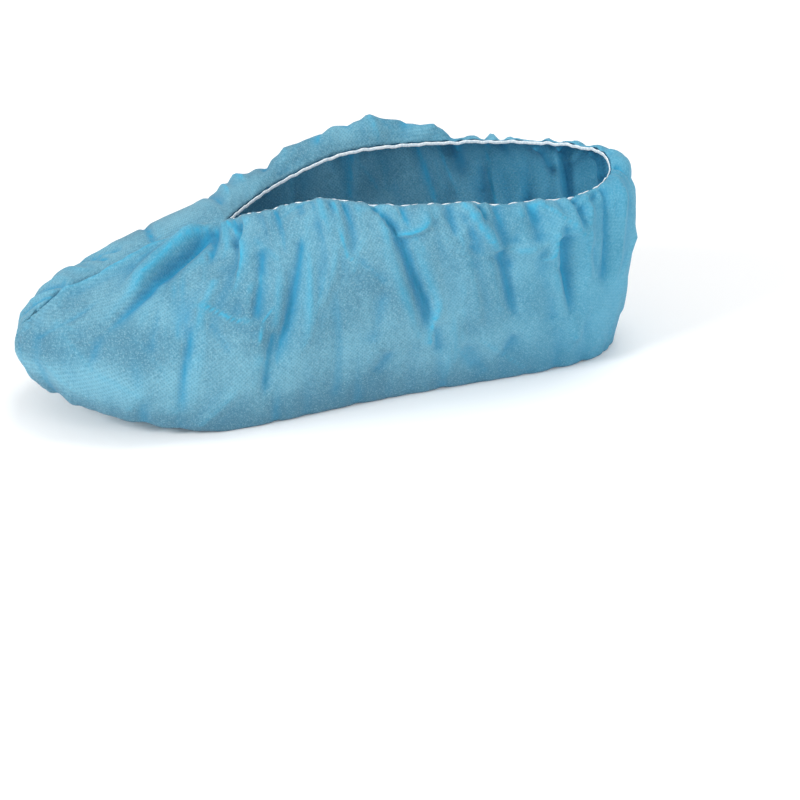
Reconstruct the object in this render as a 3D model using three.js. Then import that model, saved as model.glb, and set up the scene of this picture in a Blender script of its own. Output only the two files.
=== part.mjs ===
// A disposable shoe cover of thin nonwoven cloth, in the shape that it has on a shoe.
// Three pieces: the cloth bag, the elastic sewn inside the rim of its opening, and the elastic overlock
// seam that draws the cloth together along the middle of the sole.
// Millimetres, +Z up, toe towards -Y, origin on the floor under the middle of the cover.
import * as THREE from "three";

// Driving dimensions.
const clothWall = 1.2;
const seamReach = 0.93; // the sole's seam is this share as long as the sole
const grooveRise = 3; // how far the seam draws the cloth up into the bag
const grooveHalf = 11; // half the width of the groove that it leaves
const elasticHeight = 3.6;
const elasticThick = 0.9;
const elasticGap = 0.4; // between the cloth and the elastic inside it
const elasticProud = 0.5; // how far the elastic stands above the rim
const allowanceHeight = 4.5; // the seam allowance that stands up inside the bag
const allowanceThick = 1.2;
const allowanceGap = 0.5;

// Grid of the cloth: strips that run from the seam, round the sole's edge and up the side to the top.
const strips = 88; // round the whole cover
const heelStrip = strips / 2;
const creaseStrips = 14; // from the toe to the front of the opening
const soleSteps = 6;
const sideSteps = 15;
const steps = soleSteps + sideSteps;

// The sole's edge, where the sole turns up into the side, at even steps from the toe to the heel.
//   x, y, z: the edge on the +X side
//   swell: how far the side stands out above it
const soleEdge = [
  { x: 0.0, y: -143, z: 20, swell: 9 },
  { x: 21.0, y: -137, z: 18, swell: 10 },
  { x: 36.5, y: -118, z: 12, swell: 11 },
  { x: 45.5, y: -90, z: 5, swell: 11 },
  { x: 48.0, y: -61, z: 0, swell: 11 },
  { x: 45.0, y: -30, z: 0, swell: 12 },
  { x: 40.5, y: 2, z: 0, swell: 14 },
  { x: 37.5, y: 36, z: 0, swell: 14 },
  { x: 36.0, y: 70, z: 0, swell: 13 },
  { x: 34.0, y: 101, z: 0, swell: 12 },
  { x: 28.0, y: 127, z: 0, swell: 8 },
  { x: 15.5, y: 141, z: 0, swell: 6 },
  { x: 0.0, y: 145, z: 0, swell: 5 },
];

// The top crease, from the toe's tip to the front of the opening.
//   nearOut, nearUp: how the cloth leaves it on the +X side; farOut, farUp: on the -X side
const topCrease = [
  { x: 0, y: -143, z: 49, nearOut: 6, nearUp: -5, farOut: 6, farUp: -3 },
  { x: -3, y: -128, z: 57, nearOut: 18, nearUp: -5, farOut: 16, farUp: 2 },
  { x: -6, y: -106, z: 65, nearOut: 30, nearUp: -6, farOut: 28, farUp: 4 },
  { x: -5, y: -80, z: 74, nearOut: 40, nearUp: -8, farOut: 38, farUp: 9 },
  { x: 0, y: -49, z: 84.5, nearOut: 40, nearUp: -8, farOut: 46, farUp: 17 },
];

// The rim of the opening, from its front along the +X side to the heel, and back along the -X side.
//   out, up: how the cloth leaves it
const rim = [
  { x: 0, y: -49, z: 84.5, out: 40, up: -8 },
  { x: 15, y: -34, z: 93.5, out: 30, up: -7 },
  { x: 29, y: -12, z: 102, out: 17, up: -5 },
  { x: 37, y: 18, z: 98.5, out: 15, up: -4 },
  { x: 39.5, y: 50, z: 96, out: 14, up: -4 },
  { x: 39, y: 82, z: 92, out: 14, up: -4 },
  { x: 34, y: 112, z: 89.5, out: 16, up: -2 },
  { x: 21, y: 134, z: 91, out: 20, up: 0 },
  { x: 0, y: 142, z: 93, out: 22, up: 2 },
  { x: -21, y: 134, z: 92.5, out: 20, up: 0 },
  { x: -34, y: 112, z: 92, out: 16, up: -2 },
  { x: -39, y: 82, z: 93.5, out: 15, up: 0 },
  { x: -39.5, y: 50, z: 96, out: 18, up: 40 },
  { x: -37, y: 18, z: 96, out: 22, up: 42 },
  { x: -29, y: -12, z: 90, out: 26, up: 32 },
  { x: -15, y: -34, z: 86, out: 38, up: 24 },
  { x: 0, y: -49, z: 84.5, out: 46, up: 17 },
];

// Folds and dents that the cloth has when worn, each along a straight line on its surface.
//   from, to: the two ends; rise: outward, or inward where negative; width: from its middle to its foot
const folds = [
  { name: "valley from opening to toe", from: [14, -60, 78], to: [40, -105, 40], rise: -3.5, width: 12 },
  { name: "ridge above that valley", from: [8, -66, 79], to: [27, -112, 52], rise: 2.5, width: 12 },
  { name: "ridge at the ball of the foot", from: [26, -44, 78], to: [55, -66, 30], rise: 2.5, width: 13 },
  { name: "valley behind the ball", from: [34, -34, 76], to: [56, -30, 18], rise: -3, width: 13 },
  { name: "ridge under the rim's peak", from: [38, -8, 88], to: [54, -4, 20], rise: 2, width: 14 },
  { name: "long valley at the waist", from: [44, 26, 84], to: [52, 46, 22], rise: -3, width: 13 },
  { name: "ridge ahead of the heel", from: [46, 66, 82], to: [48, 84, 30], rise: 2.5, width: 13 },
  { name: "valley at the heel's corner", from: [44, 106, 80], to: [43, 112, 25], rise: -3, width: 13 },
  { name: "valley at the far ball", from: [-24, -50, 84], to: [-53, -62, 30], rise: -3, width: 13 },
  { name: "ridge at the far waist", from: [-46, 0, 92], to: [-52, -8, 20], rise: 2.5, width: 14 },
  { name: "valley at the far waist", from: [-50, 44, 84], to: [-50, 56, 20], rise: -3, width: 13 },
  { name: "valley at the far heel", from: [-44, 100, 80], to: [-43, 110, 24], rise: -3, width: 13 },
];

const vectors = (rows) => rows.map((row) => new THREE.Vector3(row.x, row.y, row.z));
const smooth = (points, closed) => new THREE.CatmullRomCurve3(points, closed, "centripetal");

// A pair of columns as a curve over the rows, read at a place from 0 to 1.
function columns(rows, first, second) {
  return smooth(rows.map((row, i) => new THREE.Vector3(i, row[first], row[second] ?? 0)));
}

const nearEdge = vectors(soleEdge);
const farEdge = nearEdge
  .slice(1, -1)
  .reverse()
  .map((p) => new THREE.Vector3(-p.x, p.y, p.z));
const edgeLine = smooth([...nearEdge, ...farEdge], true);
const swellLine = columns(soleEdge, "swell");
const creaseLine = smooth(vectors(topCrease));
const creaseNear = columns(topCrease, "nearOut", "nearUp");
const creaseFar = columns(topCrease, "farOut", "farUp");
const rimLine = smooth(vectors(rim));
const rimLeave = columns(rim, "out", "up");

// The top end of a strip, and how the cloth leaves it.
function topOf(strip) {
  const fromToe = Math.min(strip, strips - strip);
  if (fromToe <= creaseStrips) {
    const place = fromToe / creaseStrips;
    const leave = (strip > heelStrip ? creaseFar : creaseNear).getPoint(place);
    return { top: creaseLine.getPoint(place), out: leave.y, up: leave.z };
  }
  const place = (strip - creaseStrips) / (strips - 2 * creaseStrips);
  const leave = rimLeave.getPoint(place);
  return { top: rimLine.getPoint(place), out: leave.y, up: leave.z };
}

// The points of one strip: flat across the sole, then one curve up the side.
function stripPoints(strip) {
  const place = strip / strips;
  const edge = edgeLine.getPoint(place);
  const tangent = edgeLine.getTangent(place);
  const outward = new THREE.Vector3(tangent.y, -tangent.x, 0).normalize();
  const swell = swellLine.getPoint(Math.min(place, 1 - place) * 2).y;
  const seam = new THREE.Vector3(0, edge.y * seamReach, edge.z);
  const { top, out, up } = topOf(strip);

  const points = [];
  for (let k = 0; k < soleSteps; k++) {
    const p = seam.clone().lerp(edge, k / soleSteps);
    const beside = Math.hypot(p.x, p.y - seam.y) / grooveHalf;
    if (beside < 1) p.z += grooveRise * (1 - beside) ** 2;
    points.push(p);
  }
  const height = top.z - edge.z;
  const lowHandle = edge.clone().addScaledVector(outward, swell * 1.6);
  lowHandle.z += height * 0.45;
  const highHandle = top.clone().addScaledVector(outward, out);
  highHandle.z += up;
  const side = new THREE.CubicBezierCurve3(edge, lowHandle, highHandle, top);
  return [...points, ...side.getPoints(sideSteps)];
}

// A grid point's index. The two sides share the seam's points and the crease's.
function indexOf(strip, step) {
  const round = (strip + strips) % strips;
  const mirrored = round > heelStrip ? strips - round : round;
  const shared = step === 0 || (step === steps && mirrored <= creaseStrips);
  return (shared ? mirrored : round) * (steps + 1) + step;
}

// Moves a point of the side out or in by every fold that it lies on.
function foldOut(point, normal) {
  for (const fold of folds) {
    const line = new THREE.Line3(new THREE.Vector3(...fold.from), new THREE.Vector3(...fold.to));
    const along = line.closestPointToPointParameter(point, true);
    const aside = point.distanceTo(line.at(along, new THREE.Vector3())) / fold.width;
    if (aside < 1) point.addScaledVector(normal, fold.rise * Math.cos((aside * Math.PI) / 2) ** 2);
  }
}

// The outer skin as a grid, with its outward normals.
function skinGrid() {
  const points = Array.from({ length: strips }, (_, strip) => stripPoints(strip)).flat();
  const faces = [];
  for (let strip = 0; strip < strips; strip++) {
    for (let step = 0; step < steps; step++) {
      const a = indexOf(strip, step);
      const b = indexOf(strip + 1, step);
      const c = indexOf(strip + 1, step + 1);
      const d = indexOf(strip, step + 1);
      if (a !== b) faces.push([a, b, c]);
      if (c !== d) faces.push([a, c, d]);
    }
  }
  const normals = normalsOf(points, faces);
  points.forEach((p, i) => {
    if (i % (steps + 1) > soleSteps) foldOut(p, normals[i]);
    p.z = Math.max(p.z, 0);
  });
  centre(points);
  return { points, faces, normals: normalsOf(points, faces) };
}

// Puts the middle of the points' box at the origin, seen from above.
function centre(points) {
  const middle = new THREE.Box3().setFromPoints(points).getCenter(new THREE.Vector3()).setZ(0);
  points.forEach((p) => p.sub(middle));
}

function normalsOf(points, faces) {
  const normals = points.map(() => new THREE.Vector3());
  const triangle = new THREE.Triangle();
  const across = new THREE.Vector3();
  for (const [a, b, c] of faces) {
    triangle.set(points[a], points[b], points[c]);
    triangle.getNormal(across).multiplyScalar(triangle.getArea());
    for (const i of [a, b, c]) normals[i].add(across);
  }
  return normals.map((n) => n.normalize());
}

// A geometry from points and the triangles between them.
function geometryOf(points, faces) {
  const geometry = new THREE.BufferGeometry();
  geometry.setAttribute("position", new THREE.Float32BufferAttribute(points.flatMap((p) => p.toArray()), 3));
  geometry.setIndex(faces.flat());
  geometry.computeVertexNormals();
  return geometry;
}

const skin = skinGrid();
const innerPoint = (i, depth) => skin.points[i].clone().addScaledVector(skin.normals[i], -depth);

// The wall: the skin, the same skin set in by the wall's thickness, and the rim's edge between them.
function clothGeometry() {
  const count = skin.points.length;
  const inner = skin.points.map((_, i) => innerPoint(i, clothWall));
  const faces = skin.faces.flatMap(([a, b, c]) => [[a, b, c], [a + count, c + count, b + count]]);
  for (let strip = creaseStrips; strip < strips - creaseStrips; strip++) {
    const a = indexOf(strip, steps);
    const b = indexOf(strip + 1, steps);
    faces.push([a, b, b + count], [a, b + count, a + count]);
  }
  return geometryOf([...skin.points, ...inner], faces);
}

// A bar whose four corners are known at each place along it, open ended or closed on itself.
function barGeometry(sections, closed) {
  const faces = [];
  const last = sections.length;
  for (let i = 0; i < (closed ? last : last - 1); i++) {
    for (let k = 0; k < 4; k++) {
      const a = i * 4 + k;
      const b = i * 4 + ((k + 1) % 4);
      const c = ((i + 1) % last) * 4 + ((k + 1) % 4);
      const d = ((i + 1) % last) * 4 + k;
      faces.push([a, c, b], [a, d, c]);
    }
  }
  if (!closed) {
    const end = (last - 1) * 4;
    faces.push([0, 1, 2], [0, 2, 3], [end, end + 2, end + 1], [end, end + 3, end + 2]);
  }
  return geometryOf(sections.flat(), faces);
}

// The elastic: a flat band that stands inside the rim, all the way round the opening.
function elasticGeometry() {
  const sections = [];
  for (let strip = creaseStrips; strip < strips - creaseStrips; strip++) {
    const before = skin.points[indexOf(strip - 1, steps)];
    const after = skin.points[indexOf(strip + 1, steps)];
    const along = after.clone().sub(before).setZ(0).normalize();
    if (strip === creaseStrips) along.set(1, 0, 0);
    const inward = new THREE.Vector3(-along.y, along.x, 0);
    const edge = skin.points[indexOf(strip, steps)];
    const corner = (inside, height) => {
      const p = edge.clone().addScaledVector(inward, inside);
      p.z += height;
      return p;
    };
    const near = clothWall + elasticGap;
    const high = elasticProud;
    const low = elasticProud - elasticHeight;
    sections.push([
      corner(near, low),
      corner(near, high),
      corner(near + elasticThick, high),
      corner(near + elasticThick, low),
    ]);
  }
  return barGeometry(sections, true);
}

// The seam allowance: a low wall on the inside of the sole, over the groove.
function seamGeometry() {
  const sections = [];
  for (let strip = 0; strip <= heelStrip; strip++) {
    const foot = innerPoint(indexOf(strip, 0), clothWall + allowanceGap);
    const half = allowanceThick / 2;
    sections.push(
      [[-half, 0], [half, 0], [half, allowanceHeight], [-half, allowanceHeight]].map(
        ([x, z]) => new THREE.Vector3(x, foot.y, foot.z + z),
      ),
    );
  }
  return barGeometry(sections, false);
}

function piece(name, geometry, color, roughness) {
  const material = new THREE.MeshStandardMaterial({ color, roughness, metalness: 0 });
  const mesh = new THREE.Mesh(geometry, material);
  mesh.name = name;
  return mesh;
}

const group = new THREE.Group();
group.add(
  piece("cover_cloth", clothGeometry(), 0x73b4cd, 0.85),
  piece("opening_elastic", elasticGeometry(), 0xeef2f2, 0.7),
  piece("sole_seam", seamGeometry(), 0x8cc8dc, 0.85),
);

export default group;
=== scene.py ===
import math

import bmesh
import bpy
import numpy as np
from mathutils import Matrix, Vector


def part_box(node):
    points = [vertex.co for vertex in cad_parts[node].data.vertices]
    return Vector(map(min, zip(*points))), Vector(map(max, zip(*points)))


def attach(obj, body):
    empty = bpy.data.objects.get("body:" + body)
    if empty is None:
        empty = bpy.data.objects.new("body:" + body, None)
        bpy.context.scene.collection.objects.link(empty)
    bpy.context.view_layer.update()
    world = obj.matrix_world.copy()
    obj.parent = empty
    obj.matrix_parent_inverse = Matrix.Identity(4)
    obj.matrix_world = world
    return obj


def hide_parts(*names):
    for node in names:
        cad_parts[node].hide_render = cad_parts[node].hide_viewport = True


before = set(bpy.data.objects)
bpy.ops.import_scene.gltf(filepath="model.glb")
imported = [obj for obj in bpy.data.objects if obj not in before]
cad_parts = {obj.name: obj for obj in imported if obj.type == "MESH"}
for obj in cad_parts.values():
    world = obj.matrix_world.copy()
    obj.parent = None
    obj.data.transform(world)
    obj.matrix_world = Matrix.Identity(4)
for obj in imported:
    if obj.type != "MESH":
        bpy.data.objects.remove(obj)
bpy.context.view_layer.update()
clothLow, clothHigh = (np.array(corner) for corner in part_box("cover_cloth"))
seamLow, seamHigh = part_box("sole_seam")
print("frame loaded:", sorted(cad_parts))

mm = 0.001


def clearSelection():
    bpy.ops.object.select_all(action="DESELECT")


def makeActive(obj):
    clearSelection()
    obj.select_set(True)
    bpy.context.view_layer.objects.active = obj


def addMesh(name, points, faces):
    mesh = bpy.data.meshes.new(name)
    mesh.from_pydata([tuple(p) for p in points], [], faces)
    mesh.validate()
    obj = bpy.data.objects.new(name, mesh)
    bpy.context.scene.collection.objects.link(obj)
    mesh.polygons.foreach_set("use_smooth", [True] * len(mesh.polygons))
    return obj


def smoothstep(t):
    t = np.clip(t, 0, 1)
    return t * t * (3 - 2 * t)


def columns(rows, *names):
    return np.array([[row[name] for name in names] for row in rows], float)


# a smooth curve through the points, read at places from 0 to 1; uneven gaps don't make it overshoot
def curveAt(points, places, closed=False):
    points = np.asarray(points, float)
    if points.shape[1] < 2:
        points = np.hstack([np.arange(len(points))[:, None], points])
    count = len(points)
    spans = count if closed else count - 1
    t = np.clip(places, 0, 1) * spans
    i = np.minimum(t.astype(int), spans - 1)
    w = (t - i)[:, None]

    def at(k):
        if closed:
            return points[k % count]
        found = points[np.clip(k, 0, count - 1)].copy()
        found[k < 0] = 2 * points[0] - points[1]
        found[k > count - 1] = 2 * points[-1] - points[-2]
        return found

    def gapOf(p, q):
        return np.sqrt(np.maximum(np.linalg.norm(q - p, axis=1), 1e-6))[:, None]

    a, b, c, d = (at(i + k) for k in (-1, 0, 1, 2))
    before, here, after = gapOf(a, b), gapOf(b, c), gapOf(c, d)
    m1 = ((b - a) / before - (c - a) / (before + here) + (c - b) / here) * here
    m2 = ((c - b) / here - (d - b) / (here + after) + (d - c) / after) * here
    return b + m1 * w + (3 * c - 3 * b - 2 * m1 - m2) * w**2 + (2 * b - 2 * c + m1 + m2) * w**3


# The cloth. Strips run from the seam under the sole, over the sole's edge and up the side to the top.
# Round is 0 at the toe, 0.5 at the heel and 1 at the toe again; up is 0 at the sole's edge and 1 at the top.
cloth = {
    "strips": 440,
    "creaseShare": 7 / 44,  # of the way round, from the toe to the front of the opening
    "soleSteps": 28,
    "sideSteps": 80,
    "thickness": 0.4 * mm,
    "seamReach": 0.93,  # of the sole's length, how far the gathered seam runs
    "grooveRise": 3.0,  # the seam's groove, in mm
    "grooveHalf": 11.0,
    "flat": (0.32, 0.38),  # the piece of cloth before it was folded, gathered and sewn
}

# sections of the worn shape in millimetres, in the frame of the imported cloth
soleEdge = [
    dict(x=0.0, y=-143, z=20, swell=9),
    dict(x=21.0, y=-137, z=18, swell=10),
    dict(x=36.5, y=-118, z=12, swell=11),
    dict(x=45.5, y=-90, z=5, swell=11),
    dict(x=48.0, y=-61, z=0, swell=11),
    dict(x=45.0, y=-30, z=0, swell=12),
    dict(x=40.5, y=2, z=0, swell=14),
    dict(x=37.5, y=36, z=0, swell=14),
    dict(x=36.0, y=70, z=0, swell=13),
    dict(x=34.0, y=101, z=0, swell=12),
    dict(x=28.0, y=127, z=0, swell=8),
    dict(x=15.5, y=141, z=0, swell=6),
    dict(x=0.0, y=145, z=0, swell=5),
]
topCrease = [
    dict(x=0, y=-143, z=49, nearOut=6, nearUp=-5, farOut=6, farUp=-3),
    dict(x=-3, y=-128, z=57, nearOut=18, nearUp=-5, farOut=16, farUp=2),
    dict(x=-6, y=-106, z=65, nearOut=30, nearUp=-6, farOut=28, farUp=4),
    dict(x=-5, y=-80, z=74, nearOut=40, nearUp=-8, farOut=38, farUp=9),
    dict(x=0, y=-49, z=84.5, nearOut=40, nearUp=-8, farOut=46, farUp=17),
]
rim = [
    dict(x=0, y=-49, z=84.5, out=40, up=-8),
    dict(x=15, y=-34, z=93.5, out=30, up=-7),
    dict(x=29, y=-12, z=102, out=17, up=-5),
    dict(x=37, y=18, z=98.5, out=15, up=-4),
    dict(x=39.5, y=50, z=96, out=14, up=-4),
    dict(x=39, y=82, z=92, out=14, up=-4),
    dict(x=34, y=112, z=89.5, out=16, up=-2),
    dict(x=21, y=134, z=91, out=20, up=0),
    dict(x=0, y=142, z=93, out=22, up=2),
    dict(x=-21, y=134, z=92.5, out=20, up=0),
    dict(x=-34, y=112, z=92, out=16, up=-2),
    dict(x=-39, y=82, z=93.5, out=15, up=0),
    dict(x=-39.5, y=50, z=96, out=18, up=40),
    dict(x=-37, y=18, z=96, out=22, up=42),
    dict(x=-29, y=-12, z=90, out=26, up=32),
    dict(x=-15, y=-34, z=86, out=38, up=24),
    dict(x=0, y=-49, z=84.5, out=46, up=17),
]


def clothGrid(strips, soleSteps, sideSteps):
    place = np.arange(strips) / strips
    fromToe = np.minimum(place, 1 - place)
    half = columns(soleEdge, "x", "y", "z")
    outline = np.vstack([half, half[1:-1][::-1] * [-1, 1, 1]])
    edge = curveAt(outline, place, closed=True)
    ahead, behind = (curveAt(outline, (place + step) % 1, closed=True) for step in (1e-4, -1e-4))
    along = ahead - behind
    outward = np.stack([along[:, 1], -along[:, 0], 0 * place], axis=1)
    outward /= np.linalg.norm(outward, axis=1)[:, None]
    swell = curveAt(columns(soleEdge, "swell"), 2 * fromToe)[:, 1:]

    creasePlace = fromToe / cloth["creaseShare"]
    rimPlace = np.clip((place - cloth["creaseShare"]) / (1 - 2 * cloth["creaseShare"]), 0, 1)
    onCrease = (creasePlace <= 1)[:, None]
    leaveNear = curveAt(columns(topCrease, "nearOut", "nearUp"), creasePlace)
    leaveFar = curveAt(columns(topCrease, "farOut", "farUp"), creasePlace)
    leaveCrease = np.where((place > 0.5)[:, None], leaveFar, leaveNear)
    creaseTop = curveAt(columns(topCrease, "x", "y", "z"), creasePlace)
    top = np.where(onCrease, creaseTop, curveAt(columns(rim, "x", "y", "z"), rimPlace))
    leave = np.where(onCrease, leaveCrease, curveAt(columns(rim, "out", "up"), rimPlace))

    seam = np.stack([0 * place, edge[:, 1] * cloth["seamReach"], edge[:, 2]], axis=1)
    t = (np.arange(soleSteps) / soleSteps)[None, :, None]
    sole = seam[:, None] * (1 - t) + edge[:, None] * t
    beside = np.hypot(sole[:, :, 0], sole[:, :, 1] - seam[:, None, 1]) / cloth["grooveHalf"]
    sole[:, :, 2] += cloth["grooveRise"] * np.maximum(0, 1 - beside) ** 2

    lowHandle = edge + outward * swell * 1.6
    lowHandle[:, 2] += (top[:, 2] - edge[:, 2]) * 0.45
    highHandle = top + outward * leave[:, :1]
    highHandle[:, 2] += leave[:, 1]
    u = (np.arange(sideSteps + 1) / sideSteps)[None, :, None]
    side = edge[:, None] * (1 - u) ** 3 + 3 * lowHandle[:, None] * (1 - u) ** 2 * u
    side = side + 3 * highHandle[:, None] * (1 - u) * u**2 + top[:, None] * u**3
    grid = np.concatenate([sole, side], axis=1)
    middle = (grid[:, :, :2].max((0, 1)) + grid[:, :, :2].min((0, 1))) / 2
    grid[:, :, :2] += (clothLow[:2] + clothHigh[:2]) / 2 / mm - middle
    return grid


# index of each grid point; the two sides share the seam's points and the toe crease's
def gridIndex(strips, rows):
    index = np.arange(strips * rows).reshape(strips, rows)
    half, crease = strips // 2, round(strips * cloth["creaseShare"])
    for strip in range(half + 1, strips):
        index[strip, 0] = index[strips - strip, 0]
        if strips - strip <= crease:
            index[strip, -1] = index[strips - strip, -1]
    return index


def gridFaces(index):
    strips, rows = index.shape
    faces = []
    for strip in range(strips):
        after = (strip + 1) % strips
        for row in range(rows - 1):
            ring = [index[strip, row], index[after, row], index[after, row + 1], index[strip, row + 1]]
            faces.append([int(i) for k, i in enumerate(ring) if i != ring[k - 1]])
    return faces


def gridNormals(points, index):
    grid = points[index]
    across = np.roll(grid, -1, axis=0) - np.roll(grid, 1, axis=0)
    normals = np.cross(across, np.gradient(grid, axis=1))
    total = np.zeros_like(points)
    np.add.at(total, index.ravel(), normals.reshape(-1, 3))
    return total / np.maximum(np.linalg.norm(total, axis=1), 1e-9)[:, None]


# The main folds, each through (round, up) places. rise is in mm, outwards or inwards; wide is half its foot
# in mm; lean from -1 to 1 makes one flank steep; tone is how much of the doubled cloth's colour it shows.
folds = [
    # long valley and ridges from the front of the opening down towards the toe
    dict(path=[(0.151, 1.0), (0.138, 0.92), (0.126, 0.865), (0.108, 0.75), (0.084, 0.5)],
         rise=-3.4, wide=11, lean=0.5, tone=0.8),
    dict(path=[(0.152, 1.0), (0.129, 0.93), (0.112, 0.84), (0.098, 0.7)],
         rise=2.2, wide=9, lean=-0.4, tone=0.75),
    dict(path=[(0.148, 1.0), (0.118, 0.93), (0.092, 0.76)], rise=1.3, wide=8, lean=0.3, tone=0.25),
    dict(path=[(0.15, 1.0), (0.11, 0.985), (0.075, 0.94), (0.04, 0.93), (0.01, 0.9)],
         rise=1.4, wide=7, lean=0.0, tone=0.7),
    dict(path=[(0.08, 0.97), (0.045, 0.985), (0.012, 0.97)], rise=-3.2, wide=4, lean=0.2, tone=0.9),
    # short pleats under the front of the opening
    dict(path=[(0.153, 1.0), (0.149, 0.89), (0.145, 0.78)], rise=-1.8, wide=5, lean=0.5, tone=0.9),
    dict(path=[(0.157, 0.99), (0.158, 0.88), (0.159, 0.8)], rise=1.2, wide=4, lean=-0.5, tone=0.6),
    dict(path=[(0.162, 0.98), (0.167, 0.9), (0.169, 0.8), (0.166, 0.74), (0.157, 0.56)],
         rise=1.8, wide=6, lean=0.5, tone=0.95),
    dict(path=[(0.174, 0.96), (0.168, 0.88), (0.162, 0.83)], rise=-1.8, wide=5, lean=-0.4, tone=0.9),
    dict(path=[(0.144, 0.84), (0.144, 0.68)], rise=0.5, wide=2.5, lean=0.0, tone=0.7),
    # thin creases left from the packet
    dict(path=[(0.136, 0.63), (0.149, 0.57), (0.162, 0.505), (0.181, 0.47)],
         rise=0.8, wide=3, lean=0.3, tone=0.75),
    dict(path=[(0.181, 0.47), (0.18, 0.425), (0.178, 0.36)], rise=0.7, wide=2.5, lean=0.0, tone=0.7),
    dict(path=[(0.181, 0.47), (0.19, 0.52)], rise=0.6, wide=2.5, lean=0.0, tone=0.6),
    dict(path=[(0.253, 0.98), (0.251, 0.78), (0.251, 0.62), (0.256, 0.6)],
         rise=0.6, wide=2.5, lean=0.2, tone=0.7),
    # soft folds of the flank
    dict(path=[(0.184, 0.8), (0.178, 0.6), (0.175, 0.45)], rise=-1.8, wide=9, lean=0.3, tone=0.55),
    dict(path=[(0.222, 0.78), (0.209, 0.575), (0.197, 0.38), (0.19, 0.2)],
         rise=-2.2, wide=11, lean=0.2, tone=0.6),
    dict(path=[(0.19, 0.42), (0.186, 0.27), (0.186, 0.12)], rise=-1.4, wide=7, lean=0.0, tone=0.4),
    dict(path=[(0.231, 0.9), (0.221, 0.61), (0.212, 0.3)], rise=1.4, wide=12, lean=-0.3, tone=0.2),
    dict(path=[(0.138, 0.55), (0.134, 0.3), (0.132, 0.05)], rise=-1.5, wide=8, lean=0.3, tone=0.5),
    dict(path=[(0.15, 0.72), (0.142, 0.58), (0.136, 0.42)], rise=1.5, wide=9, lean=0.3, tone=0.15),
    # the deep fold under the middle of the rim
    dict(path=[(0.277, 1.0), (0.282, 0.89), (0.285, 0.81), (0.288, 0.75)],
         rise=-2.0, wide=6, lean=0.5, tone=0.8),
    dict(path=[(0.286, 0.74), (0.298, 0.76), (0.313, 0.86)], rise=1.6, wide=5, lean=0.6, tone=0.9),
    dict(path=[(0.286, 0.8), (0.288, 0.66), (0.29, 0.515), (0.294, 0.375), (0.293, 0.18)],
         rise=-3.0, wide=10, lean=-0.5, tone=0.7),
    dict(path=[(0.293, 0.22), (0.296, 0.31), (0.304, 0.43)], rise=1.2, wide=6, lean=0.3, tone=0.8),
    # folds of the back quarter
    dict(path=[(0.333, 1.0), (0.338, 0.79), (0.343, 0.69), (0.352, 0.62)],
         rise=1.9, wide=8, lean=0.5, tone=0.7),
    dict(path=[(0.346, 0.97), (0.345, 0.8)], rise=-1.4, wide=5, lean=-0.4, tone=0.6),
    dict(path=[(0.376, 0.97), (0.392, 0.84), (0.404, 0.685), (0.41, 0.56)],
         rise=1.8, wide=8, lean=0.4, tone=0.6),
    dict(path=[(0.351, 0.64), (0.366, 0.63), (0.385, 0.66)], rise=1.6, wide=9, lean=-0.5, tone=0.3),
    dict(path=[(0.388, 0.72), (0.386, 0.64), (0.38, 0.58), (0.368, 0.54)],
         rise=1.3, wide=5, lean=0.5, tone=0.85),
    dict(path=[(0.392, 0.68), (0.389, 0.53), (0.389, 0.2)], rise=-3.2, wide=10, lean=0.4, tone=0.85),
    dict(path=[(0.348, 0.635), (0.347, 0.525), (0.349, 0.25)], rise=-1.8, wide=9, lean=-0.3, tone=0.55),
    dict(path=[(0.424, 0.97), (0.41, 0.7), (0.402, 0.3)], rise=1.4, wide=6, lean=0.3, tone=0.55),
    dict(path=[(0.44, 0.97), (0.424, 0.6), (0.416, 0.3)], rise=-1.4, wide=6, lean=-0.3, tone=0.5),
    dict(path=[(0.458, 0.97), (0.437, 0.61), (0.427, 0.3)], rise=1.3, wide=7, lean=0.3, tone=0.45),
    dict(path=[(0.436, 0.97), (0.418, 0.88), (0.405, 0.8)], rise=-1.3, wide=5, lean=0.2, tone=0.5),
    dict(path=[(0.48, 0.98), (0.475, 0.6), (0.47, 0.2)], rise=-1.6, wide=8, lean=0.2, tone=0.4),
]

# plainer folds of the same kind on the other side
plainFolds = [
    {"seed": 3, "count": 15, "first": 0.53, "last": 0.85},
    {"seed": 5, "count": 6, "first": 0.87, "last": 0.98},
]
gathers = {  # waves along the elastic and along the seam: length, height and reach in mm
    "seed": 7,
    "rimWaves": [(5, 0.8, 8), (10.5, 1.7, 20), (23, 1.9, 40)],
    "seamWaves": [(5, 1.2, 9), (10, 2.2, 20), (21, 2.3, 44)],
}
# how strongly every fold stands and shows
foldLook = {"lift": 1.95, "narrow": 0.7, "lineWide": 0.5, "flank": 0.7, "valley": 1.6}
crumple = {"seed": 21, "count": 260, "longest": 70, "rise": 0.8}  # short straight creases, in mm


def drawPlainFolds(side):
    rng = np.random.default_rng(side["seed"])
    made = []
    for k in range(side["count"]):
        place = side["first"] + (side["last"] - side["first"]) * (k + rng.uniform(0.2, 0.8)) / side["count"]
        top, foot = rng.uniform(0.88, 1.0), rng.uniform(0.15, 0.6)
        drift, bend = rng.uniform(-0.02, 0.02), rng.uniform(-0.006, 0.006)
        path = [(place, top), (place + drift * 0.5 + bend, (top + foot) / 2), (place + drift, foot)]
        made.append(dict(path=path, rise=rng.choice([-1, 1]) * rng.uniform(1.2, 3.0),
                         wide=rng.uniform(5, 11), lean=rng.uniform(-0.5, 0.5), tone=rng.uniform(0.3, 0.85)))
    return made


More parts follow.
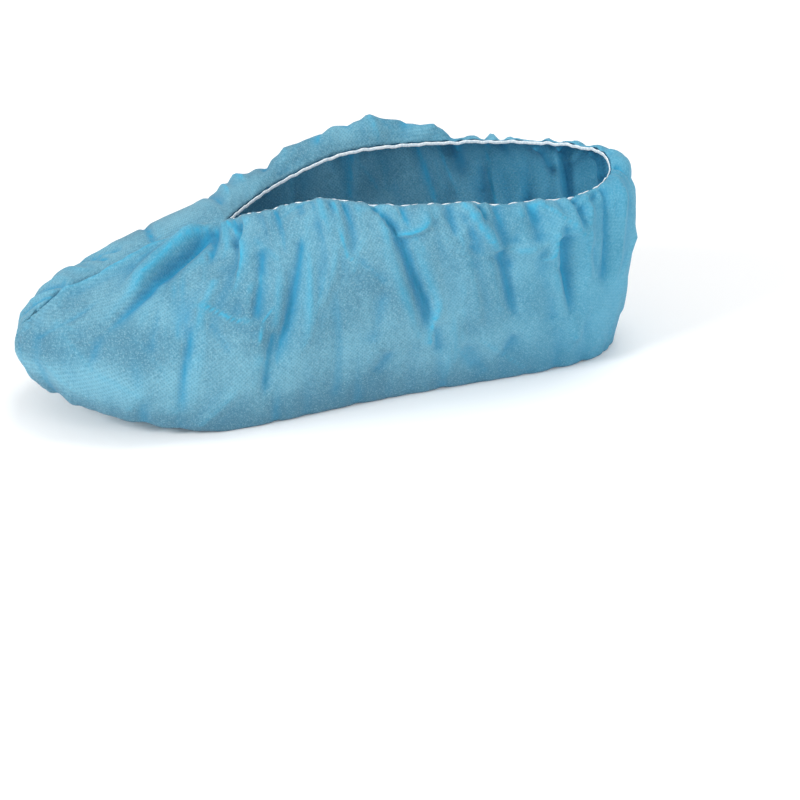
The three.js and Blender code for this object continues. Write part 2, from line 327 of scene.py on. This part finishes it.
def drawCrumples():
    rng = np.random.default_rng(crumple["seed"])
    made = []
    for k in range(crumple["count"]):
        place, up = rng.uniform(0, 1), rng.uniform(0.02, 0.98)
        slope, long = rng.uniform(-1, 1), rng.uniform(0.25, 1) * crumple["longest"]
        end = (place + long * slope * 0.5 / 640, min(1, up + long * (1 - abs(slope) * 0.6) / 120))
        made.append(dict(path=[(place, up), end], wide=rng.uniform(4, 15), lean=rng.uniform(-0.7, 0.7),
                         rise=rng.choice([-1, 1]) * rng.uniform(0.25, 1) * crumple["rise"],
                         tone=rng.uniform(0, 0.35)))
    return made


# the fold's line on the cloth, as close points
def lineOnCloth(path, grid, firstSide):
    strips, rows, _ = grid.shape
    line = curveAt(np.array(path), np.linspace(0, 1, 12 * (len(path) - 1) + 1))
    a = (line[:, 0] % 1) * strips
    b = firstSide + np.clip(line[:, 1], 0, 1) * (rows - 1 - firstSide)
    i, j = a.astype(int) % strips, np.minimum(b.astype(int), rows - 2)
    u, v = (a - a.astype(int))[:, None], (b - j)[:, None]
    after = (i + 1) % strips
    low = grid[i, j] * (1 - u) + grid[after, j] * u
    high = grid[i, j + 1] * (1 - u) + grid[after, j + 1] * u
    return low * (1 - v) + high * v


# adds one fold to the points' lift along their normals, and to their tone
def addFold(fold, line, points, normals, lift, tone):
    reach = fold["wide"] * 1.6
    near = np.all((points > line.min(0) - reach) & (points < line.max(0) + reach), axis=1)
    close = np.flatnonzero(near)
    if not len(close):
        return
    p, n = points[close], normals[close]
    best = np.full(len(close), 1e9)
    side, share = np.zeros(len(close)), np.zeros(len(close))
    for k in range(len(line) - 1):
        a, along = line[k], line[k + 1] - line[k]
        t = np.clip(((p - a) @ along) / max(along @ along, 1e-9), 0, 1)
        off = p - a - t[:, None] * along
        distance = np.linalg.norm(off, axis=1)
        nearer = distance < best
        best = np.where(nearer, distance, best)
        side = np.where(nearer, np.sign(np.einsum("ij,ij->i", off, np.cross(n, along))), side)
        share = np.where(nearer, (k + t) / (len(line) - 1), share)
    wide = fold["wide"] * foldLook["narrow"] * (1 + fold["lean"] * side * 0.6)
    crest = np.sqrt(best**2 + 0.16) - 0.4
    ends = smoothstep((share + 0.04) / 0.14) * smoothstep((1.02 - share) / 0.35)
    lift[close] += foldLook["lift"] * fold["rise"] * ends * np.clip(1 - crest / wide, 0, 1) ** 1.7
    line = np.exp(-((best / (foldLook["lineWide"] + 0.05 * wide)) ** 2))
    flank = np.exp(-best / wide * 2.4) * (side > 0)  # doubled cloth lies to one side of the line
    band = np.maximum(line * 0.85, flank * foldLook["flank"])
    tone[close] = np.maximum(tone[close], fold["tone"] * ends * np.clip(band, 0, 1))


# uneven waves along a distance: sines whose phase wanders
def ripple(distance, rng, step, waves):
    total = np.zeros_like(distance)
    for length in waves:
        knots = np.arange(0, distance.max() + 4 * step, step)
        wander = np.cumsum(rng.normal(0, 0.55, len(knots)))
        phase = 2 * math.pi * distance / length + np.interp(distance, knots, wander) + rng.uniform(0, 6.28)
        total += np.sin(phase) / len(waves)
    return total


# rounds the tops of waves and sharpens their valleys, as gathered cloth does
def pinched(wave):
    return 2 * np.clip((1 + wave) / 2, 0, 1) ** 0.55 - 1.1


def wornCloth():
    strips, rows = cloth["strips"], cloth["soleSteps"] + cloth["sideSteps"] + 1
    grid = clothGrid(strips, cloth["soleSteps"], cloth["sideSteps"])
    index = gridIndex(strips, rows)
    points = grid.reshape(-1, 3).copy()
    normals = gridNormals(points, index)
    lift, tone = np.zeros(len(points)), np.zeros(len(points))

    # distances over the cloth, in mm: up each strip from the seam, and round at the sole's edge
    steps = np.linalg.norm(np.diff(grid, axis=1), axis=2)
    upAt = np.concatenate([np.zeros((strips, 1)), np.cumsum(steps, axis=1)], axis=1)
    edgeRow = grid[:, cloth["soleSteps"]]
    lengths = np.linalg.norm(np.roll(edgeRow, -1, axis=0) - edgeRow, axis=1)
    roundAt = np.repeat(np.concatenate([[0], np.cumsum(lengths)[:-1]])[:, None], rows, axis=1)
    fromTop = upAt[:, -1:] - upAt

    rng = np.random.default_rng(gathers["seed"])
    number = np.arange(strips)
    fromToe = np.minimum(number, strips - number) / strips
    opening = smoothstep((fromToe - cloth["creaseShare"] + 0.02) / 0.03)[:, None]
    calmFrom = smoothstep((number / strips - 0.6) / 0.08)[:, None]
    farCalm = 1 - 0.72 * calmFrom  # the far front billows smoothly
    gather = np.zeros_like(upAt)
    for wave, height, reach in gathers["rimWaves"]:
        strength = 0.45 + 0.75 * (0.5 + 0.5 * ripple(roundAt, rng, 30, [67, 41]))
        held = 0.4 + 0.6 * smoothstep(fromTop / 4)
        wavy = pinched(ripple(roundAt + fromTop * 0.12, rng, 9, [wave, wave * 0.73]))
        gather += farCalm * opening * held * strength * height * wavy * np.exp(-((fromTop / reach) ** 1.3))
    alongSeam = roundAt[np.minimum(number, strips - number)]  # the same on both sides of the seam
    drawn = np.zeros_like(upAt)
    for wave, height, reach in gathers["seamWaves"]:
        strength = 0.5 + 0.7 * (0.5 + 0.5 * ripple(alongSeam, rng, 30, [59, 37]))
        wavy = pinched(ripple(alongSeam + upAt * 0.1, rng, 9, [wave, wave * 0.7]))
        drawn += strength * height * wavy * np.exp(-((upAt / reach) ** 1.4))
    lift += (gather + drawn).ravel()
    tone = np.clip(-0.5 * gather * smoothstep((22 - fromTop) / 16) - 0.1, 0, 0.85).ravel()
    tone = np.maximum(tone, np.clip(-0.3 * drawn, 0, 0.6).ravel())

    every = list(folds)
    for side in plainFolds:
        every += drawPlainFolds(side)
    for fold in every + drawCrumples():
        addFold(fold, lineOnCloth(fold["path"], grid, cloth["soleSteps"]), points, normals, lift, tone)

    lift *= np.repeat(1 - 0.5 * calmFrom, rows, axis=1).ravel()

    # valleys and crests, from how far each point stands off its neighbours; the valleys carry painted shade
    # into the cloth's colour
    raised = lift.reshape(strips, rows)
    around = raised.copy()
    for axis in (0, 1):
        around = sum(np.roll(around, k, axis) for k in range(-4, 5)) / 9
    inside = (np.arange(rows) > cloth["soleSteps"]) & (np.arange(rows) < rows - 2)
    valley = (np.clip((around - raised) / foldLook["valley"], 0, 1) * inside).ravel()
    crest = (np.clip((raised - around) / foldLook["valley"] - 0.12, 0, 1) * inside).ravel()
    tone = np.maximum(tone, crest * 0.35)
    free = 0.34 * smoothstep((fromToe - 0.27) / 0.17)[:, None] * np.ones(rows)  # the back stands off the foot
    tone = np.maximum(tone, free.ravel())

    # the sole lies on the floor: only the gathers along its seam lift it
    onSole = np.tile(np.arange(rows) < cloth["soleSteps"], strips)
    points += normals * np.where(onSole, 0, lift)[:, None]
    points[:, 2] += np.where(onSole, np.maximum(0, -drawn.ravel()) * 1.3, 0)
    top = index[:, -1]
    frill = ripple(roundAt[:, -1], np.random.default_rng(2), 12, [9, 6.3]) * 0.45 * opening[:, 0]
    points[top, 2] += frill
    points[:, 2] = np.maximum(points[:, 2], 0)
    # painted light and shade in the cloth's colour: a pale band low on the side, strongest near the toe, and
    # dark bands along the sole's edge and halfway up the toe; the sole stays a little dark
    height = np.clip(np.arange(rows) - cloth["soleSteps"], 0, None)[None, :] / cloth["sideSteps"]
    low = np.exp(-((fromToe / 0.2) ** 2))[:, None]
    pale = 0.75 * low * np.exp(-(((height - 0.27) / 0.09) ** 2))
    pale = pale + 0.25 * np.exp(-(((height - 0.16) / 0.1) ** 2))
    dark = 0.95 * np.exp(-((height / 0.13) ** 2)) + 0.4 * low * np.exp(-(((height - 0.5) / 0.15) ** 2))
    paintedLightAndShade = np.where(np.arange(rows)[None, :] < cloth["soleSteps"], 0.45, 0.5 + 0.5 * (pale - dark))
    shades = {"foldTone": np.clip(tone, 0, 1), "valley": valley, "paintedLightAndShade": np.clip(paintedLightAndShade.ravel(), 0, 1)}
    return points * mm, index, roundAt * mm, upAt * mm, shades


# unrolls each strip beside the last, so the bond pattern has its real size everywhere
def unroll(mesh, index, roundAt, upAt):
    strips, rows = index.shape
    length = float(roundAt.max()) + 1.5 * mm
    layer = mesh.uv_layers.new(name="weave")
    uv = np.zeros((len(mesh.loops), 2), np.float32)
    face = 0
    for strip in range(strips):
        after = (strip + 1) % strips
        rightAt = roundAt[after, 0] if after else length
        for row in range(rows - 1):
            poly = mesh.polygons[face]
            ring = [(strip, row), (after, row), (after, row + 1), (strip, row + 1)]
            ids = [index[s, r] for s, r in ring]
            kept = [ring[k] for k in range(4) if ids[k] != ids[k - 1]]
            for loop, (s, r) in zip(poly.loop_indices, kept):
                uv[loop] = (roundAt[strip, 0] if s == strip else rightAt, upAt[s, r])
            face += 1
    layer.data.foreach_set("uv", uv.ravel())


points, clothIndex, roundAt, upAt, shades = wornCloth()
print("cloth worked out:", len(points), "points")


def makeCloth():
    obj = addMesh("gathered_cloth", points, gridFaces(clothIndex))
    mesh = obj.data
    for name, values in shades.items():
        layer = mesh.attributes.new(name, "FLOAT", "POINT")
        layer.data.foreach_set("value", values.astype(np.float32))
    unroll(mesh, clothIndex, roundAt, upAt)
    bm = bmesh.new()
    bm.from_mesh(mesh)
    bmesh.ops.delete(bm, geom=[v for v in bm.verts if not v.link_faces], context="VERTS")
    bm.to_mesh(mesh)
    bm.free()
    makeActive(obj)
    wall = obj.modifiers.new("wall", "SOLIDIFY")
    wall.thickness = cloth["thickness"]
    wall.offset = -1
    bpy.ops.object.modifier_apply(modifier=wall.name)
    return obj


clothPiece = makeCloth()
print("cloth made:", len(clothPiece.data.polygons), "faces")

elastic = {"height": 1.6 * mm, "thick": 0.5 * mm, "inside": 0.5 * mm, "proud": -0.25 * mm}
ruffle = {"height": 4.5 * mm, "thick": 0.8 * mm, "foot": 0.4 * mm, "sway": 1.3 * mm}


# a bar skinned over rings of corner points, closed round or with capped ends
def barMesh(name, sections, closed):
    ring, count = len(sections[0]), len(sections)
    faces = []
    for i in range(count if closed else count - 1):
        for k in range(ring):
            a, b = i * ring + k, i * ring + (k + 1) % ring
            c, d = (i + 1) % count * ring + (k + 1) % ring, (i + 1) % count * ring + k
            faces.append((a, b, c, d))
    if not closed:
        faces.append(tuple(range(ring))[::-1])
        faces.append(tuple((count - 1) * ring + k for k in range(ring)))
    obj = addMesh(name, [p for section in sections for p in section], faces)
    bm = bmesh.new()
    bm.from_mesh(obj.data)
    bmesh.ops.recalc_face_normals(bm, faces=bm.faces)
    bm.to_mesh(obj.data)
    bm.free()
    return obj


def rimLoop():
    strips = clothIndex.shape[0]
    crease = round(strips * cloth["creaseShare"])
    loop = points[clothIndex[crease:strips - crease, -1]]
    smooth = loop.copy()
    for _ in range(6):
        smooth = (np.roll(smooth, 1, axis=0) + smooth * 2 + np.roll(smooth, -1, axis=0)) / 4
    along = np.roll(smooth, -1, axis=0) - np.roll(smooth, 1, axis=0)
    along[:, 2] = 0
    along /= np.linalg.norm(along, axis=1)[:, None]
    return smooth, np.stack([-along[:, 1], along[:, 0], 0 * along[:, 0]], axis=1)


def makeElastic():
    loop, inward = rimLoop()
    wave = ripple(np.arange(len(loop)) * 1.3, np.random.default_rng(4), 10, [8, 5])
    corners = [(0, 0.12), (0, 0.88), (0.25, 1), (0.75, 1), (1, 0.88), (1, 0.12), (0.75, 0), (0.25, 0)]
    sections = []
    for p, side, w in zip(loop, inward, wave):
        base = p + side * (elastic["inside"] + w * 0.12 * mm)
        top = elastic["proud"] + w * 0.4 * mm
        sections.append([base + side * x * elastic["thick"] + (0, 0, top - (1 - z) * elastic["height"])
                         for x, z in corners])
    return barMesh("rim_elastic", sections, closed=True)


def makeRuffle():
    half = clothIndex.shape[0] // 2
    line = points[clothIndex[2:half - 1, 0]]
    sway = ripple(line[:, 1] / mm - line[0, 1] / mm, np.random.default_rng(6), 8, [7, 4.6])
    tilt = ripple(line[:, 1] / mm - line[0, 1] / mm, np.random.default_rng(8), 12, [17, 11])
    corners = [(-0.5, 0), (0.5, 0), (0.5, 0.35), (0.5, 0.7), (0.4, 1), (-0.4, 1), (-0.5, 0.7), (-0.5, 0.35)]
    sections = []
    for p, s, t in zip(line, sway, tilt):
        ring = []
        for x, z in corners:
            lean = (s * ruffle["sway"] + t * 0.5 * mm) * z**1.3
            rise = ruffle["foot"] + z * ruffle["height"] * (1 + 0.06 * t)
            ring.append(p + (x * ruffle["thick"] + lean, 0, rise))
        sections.append(ring)
    return barMesh("seam_ruffle", sections, closed=False)


stitch = {"pitch": 3.2 * mm, "length": 2.6 * mm, "radius": 0.17 * mm, "slant": math.radians(24)}


# one stitch is shaped by hand, then copied across the seam under the sole
def makeStitches():
    clearSelection()
    bpy.ops.mesh.primitive_cylinder_add(vertices=8, radius=stitch["radius"], depth=stitch["length"],
                                        rotation=(0, math.pi / 2, stitch["slant"]))
    first = bpy.context.object
    bpy.ops.object.transform_apply(location=True, rotation=True, scale=True)
    bpy.ops.object.mode_set(mode="EDIT")
    bpy.ops.mesh.select_mode(type="FACE")
    bpy.ops.mesh.select_all(action="DESELECT")
    bm = bmesh.from_edit_mesh(first.data)
    for face in bm.faces:
        face.select_set(len(face.verts) == 8)
    bmesh.update_edit_mesh(first.data)
    bpy.ops.mesh.inset(thickness=stitch["radius"] * 0.35)
    bpy.ops.mesh.extrude_region_shrink_fatten(
        TRANSFORM_OT_shrink_fatten={"value": stitch["radius"] * 0.5})
    bpy.ops.object.mode_set(mode="OBJECT")

    half = clothIndex.shape[0] // 2
    line = points[clothIndex[3:half - 2, 0]]
    along = np.concatenate([[0], np.cumsum(np.linalg.norm(np.diff(line, axis=0), axis=1))])
    copies = []
    for k in range(1, int(along[-1] / stitch["pitch"])):
        at = [np.interp(k * stitch["pitch"], along, line[:, axis]) for axis in range(3)]
        copy = first.copy()
        copy.data = first.data.copy()
        copy.location = (at[0], at[1], at[2] - 0.3 * stitch["radius"])
        bpy.context.scene.collection.objects.link(copy)
        copies.append(copy)
    bpy.data.objects.remove(first)
    makeActive(copies[0])
    for copy in copies:
        copy.select_set(True)
    bpy.ops.object.join()
    bpy.ops.object.transform_apply(location=True, rotation=True, scale=True)
    joined = bpy.context.object
    joined.name = "seam_stitches"
    bpy.ops.object.shade_smooth_by_angle(angle=math.radians(40))
    return joined


elasticPiece = makeElastic()
rufflePiece = makeRuffle()
stitchPiece = makeStitches()
print("elastic, seam edge and stitches made")


# wraps a socket, so that an expression adds its nodes
class Wire:
    def __init__(self, tree, socket):
        self.tree, self.socket = tree, socket

    def calc(self, operation, *values):
        sockets = dict(enumerate((self,) + values))
        return addNode(self.tree, "ShaderNodeMath", {"operation": operation}, sockets)

    def __add__(self, other): return self.calc("ADD", other)
    def __radd__(self, other): return self.calc("ADD", other)
    def __sub__(self, other): return self.calc("SUBTRACT", other)
    def __rsub__(self, other): return (self * -1) + other
    def __mul__(self, other): return self.calc("MULTIPLY", other)
    def __rmul__(self, other): return self.calc("MULTIPLY", other)
    def __truediv__(self, other): return self.calc("DIVIDE", other)
    def __pow__(self, other): return self.calc("POWER", other)

    def between(self, low, high):  # 0 below low, 1 above high, smooth
        return addNode(self.tree, "ShaderNodeMapRange", {"interpolation_type": "SMOOTHSTEP"},
                       {"Value": self, "From Min": low, "From Max": high})


# adds any node: its type, its settings, then the values or links of its sockets; gives its chosen output
def addNode(tree, kind, settings=None, inputs=None, output=0):
    node = tree.nodes.new(kind)
    for key, value in (settings or {}).items():
        setattr(node, key, value)
    for key, value in (inputs or {}).items():
        if isinstance(value, Wire):
            tree.links.new(value.socket, node.inputs[key])
        else:
            node.inputs[key].default_value = value
    return Wire(tree, node.outputs[output]) if node.outputs else None


def newMaterial(name):
    material = bpy.data.materials.new(name)
    material.use_nodes = True
    material.node_tree.nodes.clear()
    return material, material.node_tree


def mixColour(tree, factor, first, second):
    return addNode(tree, "ShaderNodeMix", {"data_type": "RGBA"}, {0: factor, 6: first, 7: second}, output=2)


def rgb(red, green, blue):
    def linear(c):
        c /= 255
        return c / 12.92 if c <= 0.04045 else ((c + 0.055) / 1.055) ** 2.4
    return (linear(red), linear(green), linear(blue), 1)


clothLook = {
    "thin": rgb(128, 188, 208),  # one layer over something pale: the lighter end of the random mottle and of the painted light
    "thinMottleAndShade": rgb(80, 132, 156),  # one layer over something dark: the darker end of the random mottle and of the painted shade
    "speck": rgb(78, 128, 150),
    "fold": rgb(58, 188, 228),  # doubled or creased cloth
    "paintedFoldShade": rgb(16, 138, 184),  # painted shade at the bottoms of folds
    "fibre": rgb(160, 208, 222),
    "bondPitch": 1.35 * mm,
    "bondLift": 0.5,
    "through": rgb(100, 178, 206),  # the light that comes through the sheet
    "throughLight": 0.28,
}


def clothMaterial(name):
    material, tree = newMaterial(name)
    place = addNode(tree, "ShaderNodeTexCoord", output=3)
    weave = addNode(tree, "ShaderNodeUVMap", {"uv_map": "weave"})
    folded = addNode(tree, "ShaderNodeAttribute", {"attribute_name": "foldTone"}, output=2)
    cloud = addNode(tree, "ShaderNodeTexNoise", None, {"Vector": place, "Scale": 38.0, "Detail": 2.0})
    flock = addNode(tree, "ShaderNodeTexNoise", None, {"Vector": place, "Scale": 650.0, "Detail": 2.0})
    grain = addNode(tree, "ShaderNodeTexNoise", None, {"Vector": place, "Scale": 1500.0, "Detail": 2.0})

    # point bonds: a fine diagonal lattice of small pressed dots
    perMetre = (1 / clothLook["bondPitch"],) * 3
    turned = addNode(tree, "ShaderNodeMapping", None,
                     {"Vector": weave, "Rotation": (0, 0, math.radians(45)), "Scale": perMetre})
    cells = addNode(tree, "ShaderNodeVectorMath", {"operation": "FRACTION"}, {0: turned})
    apart = addNode(tree, "ShaderNodeVectorMath", {"operation": "DISTANCE"},
                    {0: cells, 1: (0.5, 0.5, 0)}, output=1)
    bond = 1 - apart.between(0.2, 0.42)

    # painted light and shade from the bands along the side, mixed into the random mottle
    paintedLightShadeValue = addNode(tree, "ShaderNodeAttribute", {"attribute_name": "paintedLightAndShade"}, output=2)
    mottleAndPaintedShade = (cloud * 0.55 + flock * 0.45 + (0.5 - paintedLightShadeValue) * 0.42).between(0.27, 0.73)
    base = mixColour(tree, mottleAndPaintedShade, clothLook["thin"], clothLook["thinMottleAndShade"])
    base = mixColour(tree, bond * 0.42, base, clothLook["speck"])
    base = mixColour(tree, grain.between(0.5, 0.68) * 0.5, base, clothLook["fibre"])
    base = mixColour(tree, (folded * (0.8 + flock * 0.4)).between(-0.15, 1.0), base, clothLook["fold"])
    # painted shade: the bottoms of folds darkened towards a deep cyan
    paintedValleyShade = addNode(tree, "ShaderNodeAttribute", {"attribute_name": "valley"}, output=2)
    base = mixColour(tree, paintedValleyShade * 0.62, base, clothLook["paintedFoldShade"])
    height = flock * 0.5 + grain * 0.35 - bond * clothLook["bondLift"]
    bump = addNode(tree, "ShaderNodeBump", None, {"Height": height, "Distance": 0.3 * mm, "Strength": 0.6})
    surface = addNode(tree, "ShaderNodeBsdfPrincipled", None,
                      {"Base Color": base, "Roughness": 0.78, "Specular IOR Level": 0.35,
                       "Sheen Weight": 0.12, "Sheen Roughness": 0.5, "Normal": bump})
    through = addNode(tree, "ShaderNodeBsdfTranslucent", None, {"Color": clothLook["through"], "Normal": bump})
    both = addNode(tree, "ShaderNodeMixShader", None, {0: clothLook["throughLight"], 1: surface, 2: through})
    addNode(tree, "ShaderNodeOutputMaterial", None, {"Surface": both})
    return material


elasticLook = {"rib": 900.0, "light": rgb(238, 244, 246), "dark": rgb(205, 222, 232)}
ruffleLook = {"light": rgb(120, 205, 238), "dark": rgb(74, 172, 214)}


def plainMaterial(name, light, dark, scale, roughness):
    material, tree = newMaterial(name)
    place = addNode(tree, "ShaderNodeTexCoord", output=3)
    grain = addNode(tree, "ShaderNodeTexNoise", None, {"Vector": place, "Scale": scale, "Detail": 3.0})
    base = mixColour(tree, grain.between(0.4, 0.62), light, dark)
    bump = addNode(tree, "ShaderNodeBump", None, {"Height": grain, "Distance": 0.2 * mm, "Strength": 0.5})
    surface = addNode(tree, "ShaderNodeBsdfPrincipled", None,
                      {"Base Color": base, "Roughness": roughness, "Normal": bump})
    addNode(tree, "ShaderNodeOutputMaterial", None, {"Surface": surface})
    return material


clothPiece.data.materials.append(clothMaterial("spunbond cloth"))
elasticPiece.data.materials.append(
    plainMaterial("white elastic", elasticLook["light"], elasticLook["dark"], elasticLook["rib"], 0.7))
stitchPiece.data.materials.append(
    plainMaterial("seam thread", elasticLook["light"], elasticLook["dark"], elasticLook["rib"], 0.6))
rufflePiece.data.materials.append(
    plainMaterial("seam edge", ruffleLook["light"], ruffleLook["dark"], 700.0, 0.8))
print("materials made")

studio = {
    "floorSize": 8.0,
    "floorColour": rgb(250, 250, 250),
    "world": 0.7,
    "azimuth": math.radians(72.27),  # the camera's turn and height round the cover
    "elevation": math.radians(27.15),
    "distance": 1.3,
    "lens": 123.4,
    "target": Vector((0.04305, 0.02104, 0)),
}


def makeFloor():
    clearSelection()
    bpy.ops.mesh.primitive_plane_add(size=studio["floorSize"], location=(0, 0, -0.3 * mm))
    floor = bpy.context.object
    floor.name = "floor"
    material, tree = newMaterial("pale floor")
    surface = addNode(tree, "ShaderNodeBsdfPrincipled", None,
                      {"Base Color": studio["floorColour"], "Roughness": 0.9, "Specular IOR Level": 0.1})
    addNode(tree, "ShaderNodeOutputMaterial", None, {"Surface": surface})
    floor.data.materials.append(material)


def makeLight(name, place, size, power):
    clearSelection()
    bpy.ops.object.light_add(type="AREA", location=place)
    light = bpy.context.object
    light.name = name
    light.data.shape = "DISK"
    light.data.size = size
    light.data.energy = power
    light.rotation_euler = (Vector((0, 0, 0.04)) - Vector(place)).to_track_quat("-Z", "Y").to_euler()


def makeCamera():
    turn, height = studio["azimuth"], studio["elevation"]
    back = Vector((math.sin(turn) * math.cos(height), -math.cos(turn) * math.cos(height), math.sin(height)))
    clearSelection()
    bpy.ops.object.camera_add(location=studio["target"] + back * studio["distance"])
    camera = bpy.context.object
    camera.rotation_euler = (-back).to_track_quat("-Z", "Y").to_euler()
    camera.data.lens = studio["lens"]
    camera.data.sensor_width = 36
    camera.data.clip_start = 0.01
    bpy.context.scene.camera = camera


makeFloor()
makeLight("key", (0.7, -1.9, 1.3), 0.7, 34)
makeLight("fill", (2.0, 0.9, 0.9), 1.6, 16)
makeLight("top", (-0.3, 0.5, 2.2), 1.2, 14)
makeCamera()

world = bpy.data.worlds.new("studio")
world.use_nodes = True
world.node_tree.nodes["Background"].inputs["Color"].default_value = (1, 1, 1, 1)
world.node_tree.nodes["Background"].inputs["Strength"].default_value = studio["world"]
bpy.context.scene.world = world
bpy.context.scene.view_settings.view_transform = "Standard"
print("studio made")

for piece, node, slot in ((clothPiece, "cover_cloth", "nonwoven_cloth"),
                          (elasticPiece, "opening_elastic", "white_elastic"),
                          (rufflePiece, "sole_seam", "seam_allowance")):
    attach(piece, "root")
    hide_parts(node)
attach(stitchPiece, "root")
